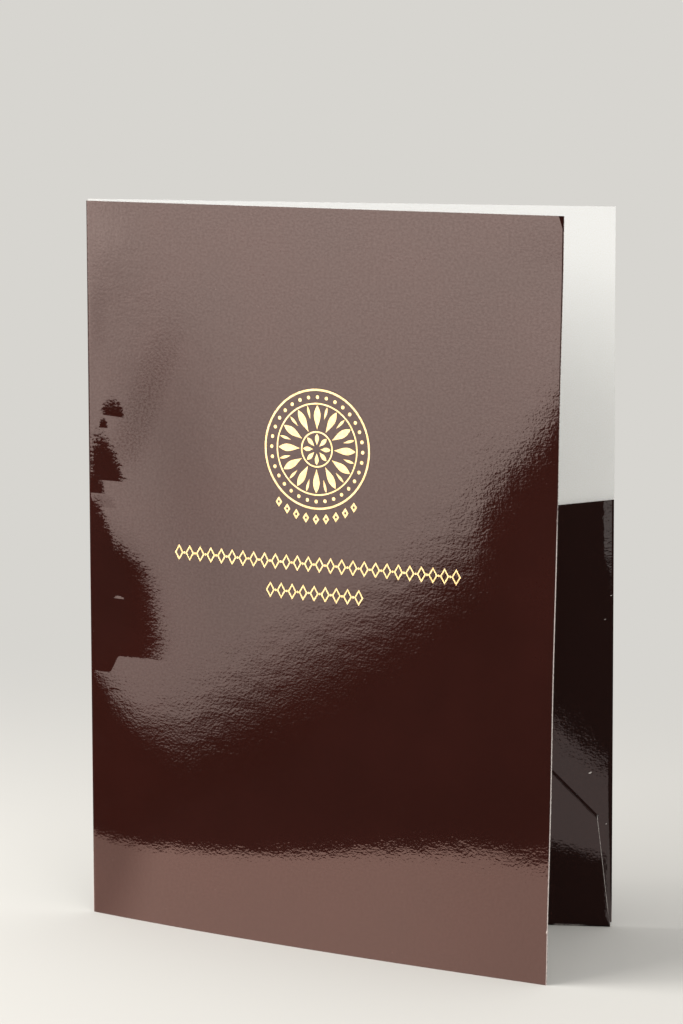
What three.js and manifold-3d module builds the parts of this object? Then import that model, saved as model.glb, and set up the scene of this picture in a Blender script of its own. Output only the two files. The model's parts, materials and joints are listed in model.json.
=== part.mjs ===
// A presentation folder for A4 sheets, die-cut and folded from one sheet of laminated card.
// It stands a little open on its lower edges. The back cover carries a pocket of two flaps:
// the side flap folds in from the fore edge, the bottom flap folds up from the foot, and the
// bottom flap's corner is tucked through a slanted slit in the side flap, which locks them.
// Millimetres, +Z up. The folder is worked out with its spine crease on the Z axis and the
// back cover along +X, and is then moved so that the origin is under the middle of its box.

import * as THREE from 'three';
import * as BufferGeometryUtils from 'three/addons/utils/BufferGeometryUtils.js';
import Module from 'manifold-3d';

const wasm = await Module();
wasm.setup();

// Covers
const COVER_WIDTH = 220;
const COVER_HEIGHT = 305;
const BACK_COVER_STEP = 0.7; // the back cover is cut this much taller than the front
const CARD = 0.4;

// Spine crease and how the folder stands
const CREASE_GAP = 0.3; // between the covers' inner faces when the folder is shut
const OPENING_AT_FOOT = 25.05; // degrees between the covers, measured at the foot
const OPENING_AT_HEAD = 22.55; // the front cover twists, so it is less open at the head
const BOW_BY_SPINE = 6; // how far the front cover's foot springs out past its chord
const BOW_BY_FORE_EDGE = 3.8;

// Pocket
const FLAP_TAPER = 6.6; // degrees by which the flaps' ends are cut back from square
const POCKET_ROOM = 1; // between the back cover and the side flap
const LAYER_GAP = 0.3; // between the side flap and the bottom flap in front of it
const SIDE_FLAP_WIDTH = 70;
const SIDE_FLAP_HEAD = 182.3; // height of its upper end at the fold
const SIDE_FLAP_FOOT = 2; // height of its lower end at the fold
const SIDE_FLAP_CORNER = 8;
const BOTTOM_FLAP_HEIGHT = 75;
const BOTTOM_FLAP_FORE_INSET = 0.6; // from the fore edge to its end, at the fold
const BOTTOM_FLAP_SPINE_INSET = 14; // from the spine to its other end, at the fold
const BOTTOM_FLAP_SPINE_ROOM = 0.35; // it lies closer to the back cover by the spine
const BOTTOM_FLAP_SPINE_CORNER = 12;
const TUCKED_CORNER = 14; // radius of the corner that goes through the slit

// Slit in the side flap
const SLIT_HEIGHT = 48.4; // where it meets the bottom flap's end
const SLIT_ANGLE = 45; // degrees up from level, rising away from the fore edge
const SLIT_WIDTH = 3.8;
const SLIT_END_CLEARANCE = 0.4; // slit left free past the bottom flap at each end
const DIVE_LENGTH = 6; // the bottom flap passes through the slit over this length

const CARD_BROWN = 0x351815;

const radians = THREE.MathUtils.degToRad;
const { lerp, smoothstep } = THREE.MathUtils;
const taper = Math.tan(radians(FLAP_TAPER));
const halfCard = CARD / 2;
const backHeight = COVER_HEIGHT + BACK_COVER_STEP;

// Depths of the layers' middle planes in front of the back cover's outer face
const sideFlapDepth = CARD + POCKET_ROOM + halfCard;
const tuckedDepth = CARD + POCKET_ROOM / 2;
const bottomFlapDepth = sideFlapDepth + CARD + LAYER_GAP;
const bottomFlapSpineDepth = CARD + BOTTOM_FLAP_SPINE_ROOM + halfCard;

// Radii of the folds' middle planes, and where the folds leave the back cover's plane
const sideFoldRadius = (sideFlapDepth - halfCard) / 2;
const bottomFoldRadius = (bottomFlapDepth - halfCard) / 2;
const sideFoldStart = COVER_WIDTH - halfCard - sideFoldRadius;
const bottomFoldStart = halfCard + bottomFoldRadius;
const FOLD_LAP = 1; // how far a flap's sheet runs into the back cover to join it

// Evenly spaced values from a to b, b included
function steps(a, b, count) {
  return Array.from({ length: count }, (_, i) => lerp(a, b, (i + 1) / count));
}

// Setback of a rounded corner at a distance past the point where the rounding starts
function cornerSetback(distance, radius) {
  const past = THREE.MathUtils.clamp(distance, 0, radius);
  return radius - Math.sqrt(radius * radius - past * past);
}

// A sheet of card as a closed body: surface(u, v) is its middle plane, and both faces lie
// half the card's thickness away from it along its normal.
function sheetGeometry(surface, uValues, vValues) {
  const h = 1e-4;
  const positions = [];
  const columns = uValues.length;
  const rows = vValues.length;
  for (const side of [1, -1]) {
    for (const v of vValues) {
      for (const u of uValues) {
        const alongU = surface(u + h, v).sub(surface(u - h, v));
        const alongV = surface(u, v + h).sub(surface(u, v - h));
        const normal = alongU.cross(alongV).normalize();
        const point = surface(u, v).addScaledVector(normal, side * halfCard);
        positions.push(point.x, point.y, point.z);
      }
    }
  }
  const index = [];
  const at = (layer, row, column) => (layer * rows + row) * columns + column;
  const quad = (a, b, c, d) => index.push(a, b, c, a, c, d);
  for (let r = 0; r + 1 < rows; r += 1) {
    for (let c = 0; c + 1 < columns; c += 1) {
      quad(at(0, r, c), at(0, r, c + 1), at(0, r + 1, c + 1), at(0, r + 1, c));
      quad(at(1, r, c), at(1, r + 1, c), at(1, r + 1, c + 1), at(1, r, c + 1));
    }
  }
  for (let c = 0; c + 1 < columns; c += 1) {
    quad(at(0, 0, c), at(1, 0, c), at(1, 0, c + 1), at(0, 0, c + 1));
    quad(at(0, rows - 1, c), at(0, rows - 1, c + 1), at(1, rows - 1, c + 1), at(1, rows - 1, c));
  }
  for (let r = 0; r + 1 < rows; r += 1) {
    quad(at(0, r, 0), at(0, r + 1, 0), at(1, r + 1, 0), at(1, r, 0));
    quad(at(0, r, columns - 1), at(1, r, columns - 1), at(1, r + 1, columns - 1), at(0, r + 1, columns - 1));
  }
  const geometry = new THREE.BufferGeometry();
  geometry.setAttribute('position', new THREE.Float32BufferAttribute(positions, 3));
  geometry.setIndex(index);
  return geometry;
}

// A flat piece with an outline in X and Z, running from depth y0 to depth y1 in front of Y = 0
function plateGeometry(outline, y0, y1) {
  const geometry = new THREE.ExtrudeGeometry(outline, { depth: y1 - y0, bevelEnabled: false });
  geometry.translate(0, 0, y0);
  geometry.rotateX(Math.PI / 2);
  return geometry;
}

function toSolid(geometry) {
  const bare = geometry.clone();
  bare.deleteAttribute('normal');
  bare.deleteAttribute('uv');
  const merged = BufferGeometryUtils.mergeVertices(bare, 1e-4);
  const vertProperties = new Float32Array(merged.attributes.position.array);
  const triVerts = new Uint32Array(merged.index.array);
  return new wasm.Manifold(new wasm.Mesh({ numProp: 3, vertProperties, triVerts }));
}

function toGeometry(solid) {
  const mesh = solid.getMesh();
  const geometry = new THREE.BufferGeometry();
  geometry.setAttribute('position', new THREE.BufferAttribute(mesh.vertProperties, 3));
  geometry.setIndex(new THREE.BufferAttribute(mesh.triVerts, 1));
  return geometry;
}

// The back cover's flat panel. Its outline is notched by a fold's radius along each flap,
// where the rounded fold takes the place of the panel's edge.
function backPanel() {
  const outline = new THREE.Shape();
  const foreEnd = COVER_WIDTH - BOTTOM_FLAP_FORE_INSET;
  outline.moveTo(CREASE_GAP / 2, 0);
  outline.lineTo(BOTTOM_FLAP_SPINE_INSET, 0);
  outline.lineTo(BOTTOM_FLAP_SPINE_INSET, bottomFoldStart);
  outline.lineTo(foreEnd, bottomFoldStart);
  outline.lineTo(foreEnd, 0);
  outline.lineTo(COVER_WIDTH, 0);
  outline.lineTo(COVER_WIDTH, SIDE_FLAP_FOOT);
  outline.lineTo(sideFoldStart, SIDE_FLAP_FOOT);
  outline.lineTo(sideFoldStart, SIDE_FLAP_HEAD);
  outline.lineTo(COVER_WIDTH, SIDE_FLAP_HEAD);
  outline.lineTo(COVER_WIDTH, backHeight);
  outline.lineTo(CREASE_GAP / 2, backHeight);
  outline.closePath();
  return plateGeometry(outline, 0, CARD);
}

// The side flap: u runs along the card from inside the back cover, round the fold (whose
// arc length is foldArc) and across the flap; v runs from its lower to its upper end.
function sideFlap() {
  const foldArc = Math.PI * sideFoldRadius;
  const flapStart = FOLD_LAP + foldArc;
  const flatWidth = SIDE_FLAP_WIDTH - halfCard - sideFoldRadius;
  const surface = (u, v) => {
    const angle = THREE.MathUtils.clamp((u - FOLD_LAP) / sideFoldRadius, 0, Math.PI);
    const before = Math.min(u - FOLD_LAP, 0);
    const past = Math.max(u - flapStart, 0);
    const x = sideFoldStart + sideFoldRadius * Math.sin(angle) + before - past;
    const y = -halfCard - sideFoldRadius * (1 - Math.cos(angle));
    const rounding = cornerSetback(past - (flatWidth - SIDE_FLAP_CORNER), SIDE_FLAP_CORNER);
    const setback = past * taper + rounding;
    return new THREE.Vector3(x, y, lerp(SIDE_FLAP_FOOT + setback, SIDE_FLAP_HEAD - setback, v));
  };
  const cornerStart = flapStart + flatWidth - SIDE_FLAP_CORNER;
  const cornerSteps = steps(0, Math.PI / 2, 6).map((a) => cornerStart + SIDE_FLAP_CORNER * Math.sin(a));
  const uValues = [0, FOLD_LAP, ...steps(FOLD_LAP, flapStart, 8), cornerStart, ...cornerSteps];
  return sheetGeometry(surface, uValues, [0, 1]);
}

// Inset of the bottom flap's fore-edge end from the fore edge, at a height above the foot
function foreEndInset(height) {
  const rounding = cornerSetback(height - (BOTTOM_FLAP_HEIGHT - TUCKED_CORNER), TUCKED_CORNER);
  return BOTTOM_FLAP_FORE_INSET + height * taper + rounding;
}

const slitDirection = { x: -Math.cos(radians(SLIT_ANGLE)), z: Math.sin(radians(SLIT_ANGLE)) };
const slitStartX = COVER_WIDTH - foreEndInset(SLIT_HEIGHT);

// Distance of a point above the slit's upper edge, negative below it
function aboveSlit(x, z) {
  return (x - slitStartX) * slitDirection.z - (z - SLIT_HEIGHT) * slitDirection.x;
}

// Depth of the bottom flap's middle plane. By the spine it lies close to the back cover, over
// the side flap it stands in front of it, and through the slit it dives behind the side flap.
function bottomFlapDepthAt(x, z) {
  const flapEdge = COVER_WIDTH - SIDE_FLAP_WIDTH;
  const over = smoothstep(x, flapEdge / 4, flapEdge - BOTTOM_FLAP_SPINE_INSET);
  const front = lerp(bottomFlapSpineDepth, bottomFlapDepth, over);
  const diveMiddle = -SLIT_WIDTH / 2;
  const dive = smoothstep(aboveSlit(x, z), diveMiddle - DIVE_LENGTH / 2, diveMiddle + DIVE_LENGTH / 2);
  return lerp(front, tuckedDepth, dive);
}

// The bottom flap: u runs from its spine end to its fore-edge end, and v along the card from
// inside the back cover (0 to 1), round the fold (1 to 2) and up the flap (2 to 3).
function bottomFlap() {
  const surface = (u, v) => {
    const foldX = lerp(BOTTOM_FLAP_SPINE_INSET, COVER_WIDTH - BOTTOM_FLAP_FORE_INSET, u);
    const radius = (bottomFlapDepthAt(foldX, 0) - halfCard) / 2;
    const foldTop = halfCard + radius;
    if (v < 1) return new THREE.Vector3(foldX, -halfCard, lerp(bottomFoldStart + FOLD_LAP, foldTop, v));
    if (v < 2) {
      const angle = (v - 1) * Math.PI;
      return new THREE.Vector3(foldX, -halfCard - radius * (1 - Math.cos(angle)), foldTop - radius * Math.sin(angle));
    }
    const z = lerp(foldTop, BOTTOM_FLAP_HEIGHT, Math.min(v, 3) - 2);
    const spineRounding = cornerSetback(z - (BOTTOM_FLAP_HEIGHT - BOTTOM_FLAP_SPINE_CORNER), BOTTOM_FLAP_SPINE_CORNER);
    const spineEnd = BOTTOM_FLAP_SPINE_INSET + (z - foldTop) * taper + spineRounding;
    const foreEnd = COVER_WIDTH - lerp(BOTTOM_FLAP_FORE_INSET, foreEndInset(z), Math.min(z - foldTop, 1));
    const x = lerp(spineEnd, foreEnd, u);
    return new THREE.Vector3(x, -bottomFlapDepthAt(x, z), z);
  };
  const slitLevel = 2 + (SLIT_HEIGHT - DIVE_LENGTH) / BOTTOM_FLAP_HEIGHT;
  const cornerLevel = 3 - (TUCKED_CORNER / 4) / BOTTOM_FLAP_HEIGHT;
  const slitReach = 1 - 44 / COVER_WIDTH;
  const uValues = [0, ...steps(0, slitReach, 8), ...steps(slitReach, 1, 26)];
  const vFlap = [...steps(2, slitLevel, 5), ...steps(slitLevel, cornerLevel, 14), ...steps(cornerLevel, 3, 5)];
  const vValues = [0, 1, ...steps(1, 2, 6), ...vFlap];
  return sheetGeometry(surface, uValues, vValues);
}

// The slit, as the piece of card that it takes out of the side flap. It is a slanted band
// whose lower end runs along the bottom flap's end, and whose upper end runs level with the
// bottom flap's upper edge, each a clearance past it.
function slitCut() {
  const slope = slitDirection.z / slitDirection.x;
  const upperZ = BOTTOM_FLAP_HEIGHT + SLIT_END_CLEARANCE;
  const band = (below) => {
    const sideStep = below / slitDirection.z;
    const drop = (slope * (SLIT_END_CLEARANCE + sideStep)) / (1 + slope * taper);
    return {
      lower: [slitStartX + SLIT_END_CLEARANCE - drop * taper, SLIT_HEIGHT + drop],
      upper: [slitStartX - sideStep + (upperZ - SLIT_HEIGHT) / slope, upperZ],
    };
  };
  const top = band(0);
  const foot = band(SLIT_WIDTH);
  const corners = [top.lower, top.upper, foot.upper, foot.lower];
  const outline = new THREE.Shape(corners.map(([x, z]) => new THREE.Vector2(x, z)));
  return plateGeometry(outline, sideFlapDepth - CARD, sideFlapDepth + CARD);
}

function backCover() {
  const slitted = toSolid(sideFlap()).subtract(toSolid(slitCut()));
  return toGeometry(toSolid(backPanel()).add(slitted).add(toSolid(bottomFlap())));
}

// The front cover swings about the crease and stands bowed and a little twisted. At each
// height its section is a chord turned by the opening angle, with a cubic bow on it whose
// control offsets fall from the foot to nothing at the head; its length along the card is
// the cover's width at every height.
function frontCover() {
  const axisY = -CARD - CREASE_GAP / 2;
  const start = CREASE_GAP / 2;
  const length = COVER_WIDTH - start;
  const bowAt = (u, v) => {
    const w = 1 - u;
    return 3 * (1 - v) * u * w * (w * BOW_BY_SPINE + u * BOW_BY_FORE_EDGE);
  };
  const chordAt = (v) => {
    const count = 40;
    let slack = 0;
    for (let i = 0; i < count; i += 1) {
      const rise = bowAt((i + 1) / count, v) - bowAt(i / count, v);
      slack += (rise * rise * count) / (2 * length);
    }
    return length - slack;
  };
  const surface = (u, v) => {
    const opening = radians(lerp(OPENING_AT_FOOT, OPENING_AT_HEAD, v));
    const along = start + chordAt(v) * u;
    const out = CREASE_GAP / 2 + halfCard + bowAt(u, v);
    const x = along * Math.cos(opening) - out * Math.sin(opening);
    const y = axisY - along * Math.sin(opening) - out * Math.cos(opening);
    return new THREE.Vector3(x, y, v * COVER_HEIGHT);
  };
  return levelEnds(sheetGeometry(surface, [0, ...steps(0, 1, 22)], [0, ...steps(0, 1, 8)]));
}

// The twist tilts the card's normal a little, so the cut ends are brought back to level
function levelEnds(geometry) {
  const position = geometry.attributes.position;
  for (let i = 0; i < position.count; i += 1) {
    const z = position.getZ(i);
    if (Math.abs(z) < CARD) position.setZ(i, 0);
    if (Math.abs(z - COVER_HEIGHT) < CARD) position.setZ(i, COVER_HEIGHT);
  }
  return geometry;
}

function coverMesh(name, geometry) {
  const material = new THREE.MeshStandardMaterial({ color: CARD_BROWN, roughness: 0.2, metalness: 0 });
  const mesh = new THREE.Mesh(geometry, material);
  mesh.name = name;
  return mesh;
}

const folder = new THREE.Group();
folder.name = 'presentation_folder';
folder.add(coverMesh('back_cover', backCover()));
folder.add(coverMesh('front_cover', frontCover()));

const box = new THREE.Box3().setFromObject(folder);
folder.position.set(-(box.min.x + box.max.x) / 2, -(box.min.y + box.max.y) / 2, -box.min.z);

export default folder;
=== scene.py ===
# %% [markdown]
# # Presentation folder
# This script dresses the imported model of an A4 presentation folder: one sheet of glossy brown
# card, folded into two covers and a pocket, standing ajar on its lower edges.
#
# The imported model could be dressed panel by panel. The real folder is one sheet, though, and its
# rounded crease shows at the spine, so the sheet is made again here as one mesh that bends there.
#
# The frame is loaded first. Lengths are in millimetres and in folder coordinates: the foot of
# the spine crease is the origin, the back cover runs along +X with its outer face on Y = 0,
# its inside looks along -Y, and Z is up. `to_row` takes them to the row frame, in metres.

# %%
# Frame and folder coordinates
import json
import math

import bmesh
import bpy
import numpy as np
from mathutils import Euler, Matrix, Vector


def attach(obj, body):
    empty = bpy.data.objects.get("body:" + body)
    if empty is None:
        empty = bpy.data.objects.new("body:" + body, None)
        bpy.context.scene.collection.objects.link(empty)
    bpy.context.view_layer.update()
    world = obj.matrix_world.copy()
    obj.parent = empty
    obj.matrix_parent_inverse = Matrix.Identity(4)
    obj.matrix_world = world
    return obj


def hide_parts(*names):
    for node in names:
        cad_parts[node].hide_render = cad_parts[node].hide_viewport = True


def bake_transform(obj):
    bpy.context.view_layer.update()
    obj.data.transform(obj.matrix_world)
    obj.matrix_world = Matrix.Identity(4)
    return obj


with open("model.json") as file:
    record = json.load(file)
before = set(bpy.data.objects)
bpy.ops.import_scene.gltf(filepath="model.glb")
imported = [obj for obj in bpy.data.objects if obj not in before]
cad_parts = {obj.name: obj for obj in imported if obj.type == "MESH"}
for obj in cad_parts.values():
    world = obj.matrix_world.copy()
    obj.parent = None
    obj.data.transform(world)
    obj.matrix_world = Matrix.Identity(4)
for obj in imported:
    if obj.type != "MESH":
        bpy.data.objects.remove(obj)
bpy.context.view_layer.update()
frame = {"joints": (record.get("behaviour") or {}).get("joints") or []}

MM = 0.001
CARD = 0.4
CREASE_GAP = 0.3
HALF_CARD = CARD / 2
AXIS_Y = -CARD - CREASE_GAP / 2
hinge = frame["joints"][0]["pos_m"]
ORIGIN = np.array([hinge[0], hinge[1] - AXIS_Y * MM, 0.0])


def to_row(points):
    """Folder coordinates in millimetres, as metres in the row frame."""
    return np.asarray(points, float) * MM + ORIGIN


def row_vector(points):
    """Folder coordinates as a Vector in the row frame."""
    return Vector(to_row(points))


# %% [markdown]
# A camera can be placed by eye, or worked out from known lengths in the picture. This one was
# fitted to the covers' edges and corners, because an A4 folder's size is known. Its place is in
# folder coordinates, and its lens is given for a film 36 mm high.

# %%
# Camera
CAMERA_PLACE = (270.4, -1458.7, 390.6)
CAMERA_TURN = 6.41
CAMERA_PITCH = 8.35
CAMERA_ROLL = -0.04
LENS = 124.3
FILM = 36

camera_data = bpy.data.cameras.new("camera")
camera_data.sensor_fit = "VERTICAL"
camera_data.sensor_width = FILM
camera_data.sensor_height = FILM
camera_data.lens = LENS
camera_data.clip_start = 0.05
camera_data.clip_end = 30
camera = bpy.data.objects.new("camera", camera_data)
camera.location = row_vector(CAMERA_PLACE)
look = Euler((math.radians(90 - CAMERA_PITCH), 0, math.radians(CAMERA_TURN)))
roll = Euler((0, 0, math.radians(CAMERA_ROLL)))
camera.rotation_euler = (look.to_matrix() @ roll.to_matrix()).to_euler()
bpy.context.scene.collection.objects.link(camera)
bpy.context.scene.camera = camera
print("camera at", [round(v, 3) for v in camera.location])

# %% [markdown]
# The covers of a folder that stands ajar are not flat: the front one is bowed at its foot, and
# a little more open there than at its head. Cloth simulation could find such a shape, but not
# this very one, so the card's middle plane is written as functions of two parameters. The front
# cover swings about the crease: at each height its section is a chord turned by the opening
# angle, with a bow on it that fades from the foot to the head. The sizes are the CAD model's.

# %%
# Covers and crease
COVER_WIDTH = 220
COVER_HEIGHT = 305
BACK_HEIGHT = 305.7
OPENING_FOOT = 25.05
OPENING_HEAD = 22.55
BOW_SPINE = 6
BOW_FORE = 3.8
CREASE_RADIUS = CREASE_GAP / 2 + HALF_CARD
FRONT_LENGTH = COVER_WIDTH - CREASE_GAP / 2


def smoothstep(x, start, end):
    """0 before start and 1 after end, and 3t² - 2t³ between them, t being the share of the way."""
    t = np.clip((x - start) / (end - start), 0, 1)
    return t * t * (3 - 2 * t)


def lerp(a, b, t):
    """a at t = 0 and b at t = 1."""
    return a + (b - a) * t


def opening_at(z):
    """Angle between the covers at a height, in radians."""
    return np.radians(lerp(OPENING_FOOT, OPENING_HEAD, np.clip(z / COVER_HEIGHT, 0, 1)))


def bow_at(u, v):
    """How far the front cover stands out past its chord: 3(1-v)u(1-u)((1-u)B + uF)."""
    return 3 * (1 - v) * u * (1 - u) * ((1 - u) * BOW_SPINE + u * BOW_FORE)


BOW_STEPS = 40
bow_rises = np.diff(bow_at(np.linspace(0, 1, BOW_STEPS + 1), 0))
FOOT_SLACK = float((bow_rises**2).sum() * BOW_STEPS / (2 * FRONT_LENGTH))
FORE_WAVE = 0.22
SPINE_WAVE = 0.1


def relief(a, z):
    """Small waves of the front cover: a slow sine along its fore edge and one by the spine."""
    fore = FORE_WAVE * np.sin(z / 17 + 0.6) * smoothstep(a, 185, 220) * smoothstep(z, 0, 30)
    spine = SPINE_WAVE * np.sin(z / 11) * smoothstep(a, 1, 10) * (1 - smoothstep(a, 15, 45))
    return (fore + spine) * (1 - smoothstep(z, 285, 305))


def front_plane(a, z):
    """Middle plane of the front cover at a distance a from the spine and a height z.

    The point lies along the chord by its share of the chord's length, and out from it by the
    crease's radius, the bow and the relief, both turned by the opening at that height.
    """
    a, z = np.broadcast_arrays(np.asarray(a, float), np.asarray(z, float))
    v = z / COVER_HEIGHT
    u = np.clip((a - CREASE_GAP / 2) / FRONT_LENGTH, 0, 1)
    along = np.minimum(a, CREASE_GAP / 2) + (FRONT_LENGTH - FOOT_SLACK * (1 - v) ** 2) * u
    out = CREASE_RADIUS + bow_at(u, v) + relief(a, z)
    turn = opening_at(z)
    x = along * np.cos(turn) - out * np.sin(turn)
    y = AXIS_Y - along * np.sin(turn) - out * np.cos(turn)
    return np.stack([x, y, z], -1)


def crease_arc(t, z):
    """Middle plane of the rounded crease, from the front cover (t = 0) to the back (t = 1)."""
    t, z = np.broadcast_arrays(np.asarray(t, float), np.asarray(z, float))
    angle = lerp(1.5 * np.pi - opening_at(z), np.pi / 2, t)
    return np.stack([CREASE_RADIUS * np.cos(angle), AXIS_Y + CREASE_RADIUS * np.sin(angle), z], -1)


def back_plane(x, z):
    """Middle plane of the back cover."""
    x, z = np.broadcast_arrays(np.asarray(x, float), np.asarray(z, float))
    return np.stack([x, np.full(x.shape, -HALF_CARD), z], -1)


print("slack of the bow at the foot", round(FOOT_SLACK, 3), "mm")

# %% [markdown]
# The pocket holds the papers. On the real folder the side flap folds in from the fore edge, the
# bottom flap folds up from the foot, and the bottom flap's corner is tucked through a slanted
# slit, which locks the two without glue. Flat panels pushed into each other would cross, so each
# flap is one surface, and the bottom flap's depth changes smoothly where it dives through.

# %%
# Flaps and slit
TAPER = math.tan(math.radians(6.6))
SIDE_DEPTH = 1.6
SIDE_WIDTH = 70
SIDE_HEAD = 182.3
SIDE_FOOT = 2
SIDE_CORNER = 8
SIDE_RADIUS = (SIDE_DEPTH - HALF_CARD) / 2
SIDE_START = COVER_WIDTH - HALF_CARD - SIDE_RADIUS
SIDE_FLAT = SIDE_WIDTH - HALF_CARD - SIDE_RADIUS
BOTTOM_HEIGHT = 75
BOTTOM_FORE_INSET = 0.6
BOTTOM_SPINE_INSET = 14
BOTTOM_FRONT_DEPTH = 2.3
BOTTOM_SPINE_DEPTH = 0.95
BOTTOM_CORNER = 12
TUCKED_DEPTH = 0.9
TUCKED_CORNER = 14
SLIT_HEIGHT = 48.4
SLIT_ANGLE = math.radians(45)
SLIT_WIDTH = 0.4
SLIT_CLEARANCE = 0.4
DIVE_LENGTH = 0.7
FOLD_FORE_END = COVER_WIDTH - BOTTOM_FORE_INSET
FORE_LEAN = 1.5
FORE_DROP = 1.9


def settled(points):
    """The back cover and its flaps as they stand: the fore edge leans out by FORE_LEAN at the
    foot, less higher up, and its head sinks by FORE_DROP. Both fade towards the spine."""
    x, y, z = np.moveaxis(np.asarray(points, float), -1, 0)
    share = np.clip(x / COVER_WIDTH, 0, 1)
    lean = FORE_LEAN * share * (1 - z / BACK_HEIGHT)
    drop = FORE_DROP * share * smoothstep(z, SIDE_HEAD, COVER_HEIGHT)
    return np.stack([x + lean, y, z - drop], -1)


def corner_setback(past, radius):
    """Setback of a rounded corner: its radius less the root of radius² - past²."""
    past = np.clip(past, 0, radius)
    return radius - np.sqrt(radius * radius - past * past)


def fore_end_inset(z):
    """Inset of the bottom flap's end from the fore edge: the taper and the rounded corner."""
    corner = corner_setback(z - (BOTTOM_HEIGHT - TUCKED_CORNER), TUCKED_CORNER)
    return BOTTOM_FORE_INSET + z * TAPER + corner


SLIT_START = COVER_WIDTH - float(fore_end_inset(np.float64(SLIT_HEIGHT)))


def above_slit(x, z):
    """Distance of a point above the slit's upper edge, negative below it."""
    return (x - SLIT_START) * math.sin(SLIT_ANGLE) + (z - SLIT_HEIGHT) * math.cos(SLIT_ANGLE)


def bottom_depth(x, z):
    """Depth of the bottom flap: near the back cover by the spine, in front of the side flap
    farther on, and behind it once it is through the slit."""
    flap_edge = COVER_WIDTH - SIDE_WIDTH
    over = smoothstep(x, flap_edge / 4, flap_edge - BOTTOM_SPINE_INSET)
    front = lerp(BOTTOM_SPINE_DEPTH, BOTTOM_FRONT_DEPTH, over)
    middle = -SLIT_WIDTH / 2
    dive = smoothstep(above_slit(x, z), middle - DIVE_LENGTH / 2, middle + DIVE_LENGTH / 2)
    return lerp(front, TUCKED_DEPTH, dive)


def bottom_fold(x):
    """Radius of the bottom fold at a column."""
    return (bottom_depth(np.clip(x, BOTTOM_SPINE_INSET, FOLD_FORE_END), 0.0) - HALF_CARD) / 2


def side_flap(angle, past, z):
    """The side flap at an angle round its fold, a distance past it and a height at the fold."""
    angle, past, z = np.broadcast_arrays(angle, past, z)
    x = SIDE_START + SIDE_RADIUS * np.sin(angle) - past
    y = -HALF_CARD - SIDE_RADIUS * (1 - np.cos(angle))
    setback = past * TAPER + corner_setback(past - (SIDE_FLAT - SIDE_CORNER), SIDE_CORNER)
    share = (z - SIDE_FOOT) / (SIDE_HEAD - SIDE_FOOT)
    return np.stack([x, y, lerp(SIDE_FOOT + setback, SIDE_HEAD - setback, share)], -1)


def bottom_flap(x, angle, rise):
    """The bottom flap at a column of its fold, an angle round the fold and a share of its
    height above it."""
    x, angle, rise = np.broadcast_arrays(x, angle, rise)
    radius = bottom_fold(x)
    top = HALF_CARD + radius
    z = lerp(top - radius * np.sin(angle), BOTTOM_HEIGHT, rise)
    corner = corner_setback(z - (BOTTOM_HEIGHT - BOTTOM_CORNER), BOTTOM_CORNER)
    spine_end = BOTTOM_SPINE_INSET + np.maximum(z - top, 0) * TAPER + corner
    fore_end = COVER_WIDTH - lerp(BOTTOM_FORE_INSET, fore_end_inset(z), np.clip(z - top, 0, 1))
    share = (x - BOTTOM_SPINE_INSET) / (FOLD_FORE_END - BOTTOM_SPINE_INSET)
    flap_x = lerp(spine_end, fore_end, share)
    folded = HALF_CARD + radius * (1 - np.cos(angle))
    depth = np.where(rise > 0, bottom_depth(flap_x, z), folded)
    return np.stack([np.where(rise > 0, flap_x, x), -depth, z], -1)


def slit_corners():
    """The slit's four corners as (x, z): its ends lie a clearance past the bottom flap."""
    slope = -math.tan(SLIT_ANGLE)
    upper_z = BOTTOM_HEIGHT + SLIT_CLEARANCE
    corners = []
    for below in (0, SLIT_WIDTH):
        side_step = below / math.sin(SLIT_ANGLE)
        drop = slope * (SLIT_CLEARANCE + side_step) / (1 + slope * TAPER)
        lower = (SLIT_START + SLIT_CLEARANCE - drop * TAPER, SLIT_HEIGHT + drop)
        upper = (SLIT_START - side_step + (upper_z - SLIT_HEIGHT) / slope, upper_z)
        corners.append((lower, upper))
    (a, b), (c, d) = corners
    return [a, b, d, c]


print("slit corners", [tuple(round(v, 1) for v in p) for p in slit_corners()])

# %% [markdown]
# Card is stiff but thin, and its print, wear and gloss belong to places on the flat sheet. So
# the sheet is a grid of rows and columns, and each corner also keeps its place on the unfolded
# sheet, in metres, as the UV map. These helpers space the lines and make a patch of quads.

# %%
# Lines and patches
CARD_MATERIALS = ("laminate", "inside", "core")
LAMINATE_SLOT, INSIDE_SLOT, CORE_SLOT = range(3)
for name in CARD_MATERIALS:
    bpy.data.materials.new(name).use_nodes = True


def spread(stops, gaps):
    """Values from the first stop to the last, evenly spaced between stops at about these gaps."""
    parts = [np.array(stops[:1], float)]
    for a, b, gap in zip(stops, stops[1:], gaps):
        count = max(1, round(abs(b - a) / gap))
        parts.append(np.linspace(a, b, count + 1)[1:])
    return np.concatenate(parts)


def patch(points, flat, keep, flip=False):
    """Corner points, flat places and quads of a grid, for the cells that are kept."""
    rows, columns = points.shape[:2]
    index = np.arange(rows * columns).reshape(rows, columns)
    quads = np.stack([index[:-1, :-1], index[1:, :-1], index[1:, 1:], index[:-1, 1:]], -1)
    if flip:
        quads = quads[..., ::-1]
    return points.reshape(-1, 3), flat.reshape(-1, 2), quads[keep]


def flat_place(across, up):
    """Places on the flat sheet from its two coordinates."""
    return np.stack(np.broadcast_arrays(across, up), -1)


def all_cells(points):
    """Keeps every cell of a grid."""
    return np.ones((points.shape[0] - 1, points.shape[1] - 1), bool)


print("card materials", CARD_MATERIALS)

# %% [markdown]
# Both covers and the crease share one grid, so that the sheet has no seam at its spine. Cells are
# left out over the shorter front cover's head, and where a fold takes the sheet on into a flap.

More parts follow.
